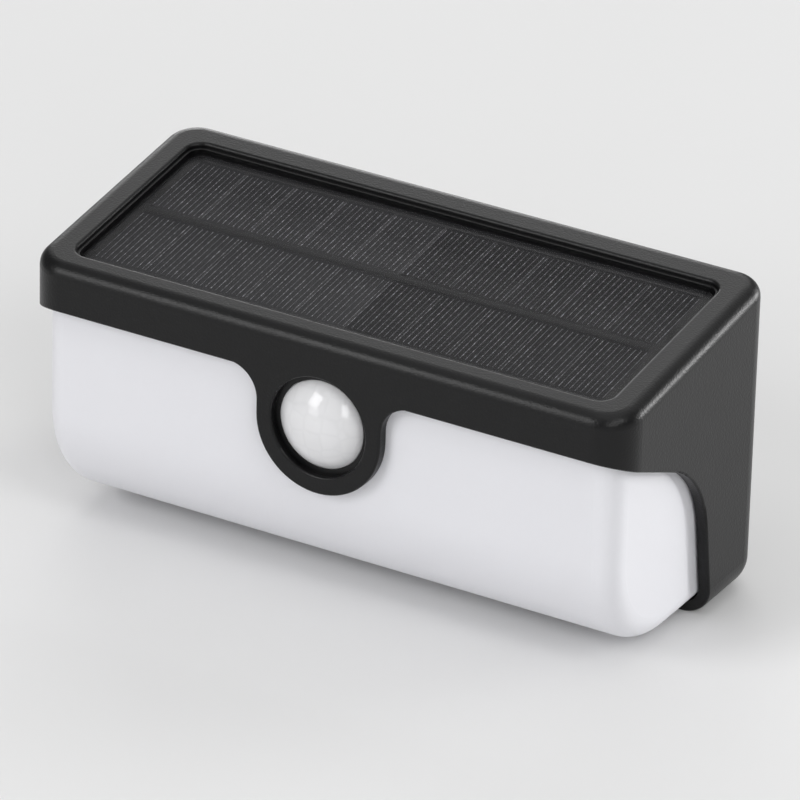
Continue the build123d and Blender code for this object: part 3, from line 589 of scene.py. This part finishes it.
class WALLLIGHT_OT_inside(bpy.types.Operator):
    """Finishes the parts inside the light"""

    bl_idname = "wall_light.inside"
    bl_label = "Inner parts"

    def execute(self, context):
        # A white-filled moulding, matt so that it spreads the diodes' light.
        white = two_tone("abs_white_moulded", "#e4e4e2", "#eeeeec", 4 * MM, {"Roughness": 0.5})
        finish_nodes(white, "reflector")
        # Unpolished black moulding, duller than the housing.
        dull = two_tone("abs_black_moulded", "#161617", "#1e1e1f", 1.5 * MM, {"Roughness": 0.6})
        finish_nodes(dull, "pir_holder", "battery_cradle", "switch_body", "control_chip")
        # Closed-cell foam is matt and finely pitted.
        matt = {"Roughness": 0.95}
        foam = two_tone("foam_black_closed_cell", "#1a1a1a", "#2b2b2b", 0.5 * MM, matt, bump_height=0.1 * MM)
        finish_nodes(foam, "back_seal", "solar_tape")
        green = printed_board("fr4_green_masked", "#0f4a26", "#1b6a38", 4 * MM)
        finish_nodes(green, "pir_board", "control_board")
        pale = printed_board("aluminium_board_white_masked", "#e6e6e2", "#f2f2ee", 6 * MM)
        finish_nodes(pale, "led_board")
        # Phosphor gel in a white cup looks deep yellow when the light is off.
        phosphor = two_tone("phosphor_gel_dispensed", "#e0b52e", "#f0d060", 0.6 * MM, {"Roughness": 0.25})
        finish_nodes(phosphor, "leds")
        # Acetal wears to a soft shine.
        acetal = two_tone("acetal_white_moulded", "#d8d8d2", "#e6e6e0", 2 * MM, {"Roughness": 0.4})
        finish_nodes(acetal, "switch_plunger", "battery_strap", "lead_sockets")
        # Nickel plate on a drawn can is a bright, slightly warm metal.
        bright = {"Metallic": 1.0, "Roughness": 0.28}
        nickel = two_tone("nickel_plated_can", "#b3ab9c", "#cac4b6", 0.9 * MM, bright)
        finish_nodes(nickel, "pir_sensor")
        # Sintered ferrite is a dark, slightly porous grey.
        porous = {"Roughness": 0.65}
        ferrite = two_tone("ferrite_sintered", "#26262a", "#3a3a3e", 0.4 * MM, porous, bump_height=0.05 * MM)
        finish_nodes(ferrite, "inductor")
        # Shrink sleeves are smooth, glossy plastic film.
        navy = two_tone("pvc_sleeve_navy", "#15182c", "#1d2138", 5 * MM, {"Roughness": 0.3})
        finish_nodes(navy, "capacitor")
        blue = two_tone("pvc_sleeve_blue", "#1b4a86", "#2558a0", 8 * MM, {"Roughness": 0.28})
        finish_nodes(blue, "battery_cell")
        # Lead sheaths are extruded smooth.
        sheath = two_tone("pvc_sheath_extruded", "#202022", "#2c2c2e", 3 * MM, {"Roughness": 0.45})
        finish_nodes(sheath, "solar_lead", "battery_lead", "led_lead", "sensor_lead")
        return {"FINISHED"}


# Stage

# Half the side of the floor, and the strength of the white surroundings
FLOOR_REACH = 3.0
SURROUNDINGS = 0.18

# Distance of the lamps from the middle of the light
LAMP_DISTANCE = 1.6

# Name, azimuth and elevation in degrees, width and height in metres, power in watts
LAMPS = (
    ("overhead", 0, 88, 1.7, 1.7, 9),
    ("front_left", -31, 31, 0.6, 0.65, 8),
    ("front_left_low", -24, 13, 0.6, 0.4, 1.8),
    ("front_right", 38, 25, 0.34, 0.6, 3.6),
    ("right_high", 62, 42, 0.6, 0.6, 5.2),
    ("back_high", 180, 45, 1.6, 0.8, 2.5),
    ("back_left_high", -151, 39, 1.2, 0.9, 3),
    ("back_left", -145, 12, 0.7, 0.5, 4.5),
    ("back_right", 145, 12, 1.0, 0.5, 4.5),
    ("right_low", 140, 5, 0.8, 0.25, 10),
)

# Camera: target and distance in metres, angles in degrees, lens and sensor in millimetres
CAMERA_TARGET = Vector((0, -0.035, -0.011))
CAMERA_DISTANCE = 2.014
CAMERA_AZIMUTH = 29.475
CAMERA_ELEVATION = 26.875
CAMERA_ROLL = 1.536
CAMERA_LENS = 342.3
CAMERA_SENSOR = 36.0
CAMERA_SHIFT_X = -0.0042
CAMERA_SHIFT_Y = -0.0077
CAMERA_CLIP = 20.0


def aim(direction):
    """Rotation that turns a lamp's or a camera's view along a direction."""
    return direction.to_track_quat("-Z", "Y").to_matrix().to_4x4()


def seen_from(azimuth, elevation):
    """Direction towards a lamp or camera; the azimuth runs from the front to the right, in degrees."""
    a = math.radians(azimuth)
    e = math.radians(elevation)
    return Vector((math.sin(a) * math.cos(e), -math.cos(a) * math.cos(e), math.sin(e)))


def softbox(name, azimuth, elevation, width, height, power):
    """A rectangular lamp that faces the middle of the light."""
    lamp = bpy.data.lights.new(name, "AREA")
    lamp.shape = "RECTANGLE"
    lamp.size = width
    lamp.size_y = height
    lamp.energy = power
    away = seen_from(azimuth, elevation)
    centre = (CAD_BOX[0] + CAD_BOX[1]) / 2
    box = bpy.data.objects.new(name, lamp)
    box.matrix_world = Matrix.Translation(centre + away * LAMP_DISTANCE) @ aim(-away)
    bpy.context.scene.collection.objects.link(box)


class WALLLIGHT_OT_stage(bpy.types.Operator):
    """Makes the pale floor, the soft lamps and the camera"""

    bl_idname = "wall_light.stage"
    bl_label = "Stage"

    def execute(self, context):
        scene = context.scene
        scene.view_settings.view_transform = "Standard"
        world = bpy.data.worlds.new("studio")
        world.use_nodes = True
        scene.world = world
        backdrop = world.node_tree.nodes["Background"].inputs
        backdrop["Color"].default_value = (1, 1, 1, 1)
        backdrop["Strength"].default_value = SURROUNDINGS
        corners = ((-1, -1), (1, -1), (1, 1), (-1, 1))
        points = [(x * FLOOR_REACH, y * FLOOR_REACH, CAD_BOX[0].z) for x, y in corners]
        mesh = bpy.data.meshes.new("floor")
        mesh.from_pydata(points, [], [(0, 1, 2, 3)])
        floor = bpy.data.objects.new("floor", mesh)
        scene.collection.objects.link(floor)
        # Matt studio paper, even and without a sheen.
        paper = two_tone("paper_pale_matt", "#e2e2e2", "#e8e8e8", 400 * MM, {"Roughness": 0.95})
        mesh.materials.append(paper)
        for lamp in LAMPS:
            softbox(*lamp)
        camera = bpy.data.cameras.new("camera")
        camera.lens = CAMERA_LENS
        camera.sensor_width = CAMERA_SENSOR
        camera.shift_x = CAMERA_SHIFT_X
        camera.shift_y = CAMERA_SHIFT_Y
        camera.clip_end = CAMERA_CLIP
        away = seen_from(CAMERA_AZIMUTH, CAMERA_ELEVATION)
        roll = Matrix.Rotation(math.radians(CAMERA_ROLL), 4, "Z")
        place = Matrix.Translation(CAMERA_TARGET + away * CAMERA_DISTANCE)
        eye = bpy.data.objects.new("camera", camera)
        eye.matrix_world = place @ aim(-away) @ roll
        scene.collection.objects.link(eye)
        scene.camera = eye
        return {"FINISHED"}


class WALLLIGHT_PT_panel(bpy.types.Panel):
    """Lists the steps that finish the wall light"""

    bl_idname = "WALLLIGHT_PT_panel"
    bl_label = "Wall Light"
    bl_space_type = "VIEW_3D"
    bl_region_type = "UI"
    bl_category = "Wall Light"

    def draw(self, context):
        for step in STEPS:
            self.layout.operator(step.bl_idname)
        settings = context.scene.wall_light
        for group in (settings.panel, settings.screws, settings.finishes):
            for name in group.__annotations__:
                self.layout.prop(group, name)


STEPS = (
    WALLLIGHT_OT_moulded,
    WALLLIGHT_OT_panel,
    WALLLIGHT_OT_screws,
    WALLLIGHT_OT_inside,
    WALLLIGHT_OT_stage,
)
CLASSES = (PanelSizes, ScrewSizes, Finishes, WallLight, *STEPS, WALLLIGHT_PT_panel)


def register():
    for cls in CLASSES:
        bpy.utils.register_class(cls)
    bpy.types.Scene.wall_light = PointerProperty(
        name="Wall light", description="Settings of the wall light", type=WallLight
    )


def unregister():
    del bpy.types.Scene.wall_light
    for cls in reversed(CLASSES):
        bpy.utils.unregister_class(cls)


def main():
    register()
    bpy.ops.wall_light.moulded()
    bpy.ops.wall_light.panel()
    bpy.ops.wall_light.screws()
    bpy.ops.wall_light.inside()
    bpy.ops.wall_light.stage()


if __name__ == "__main__":
    main()
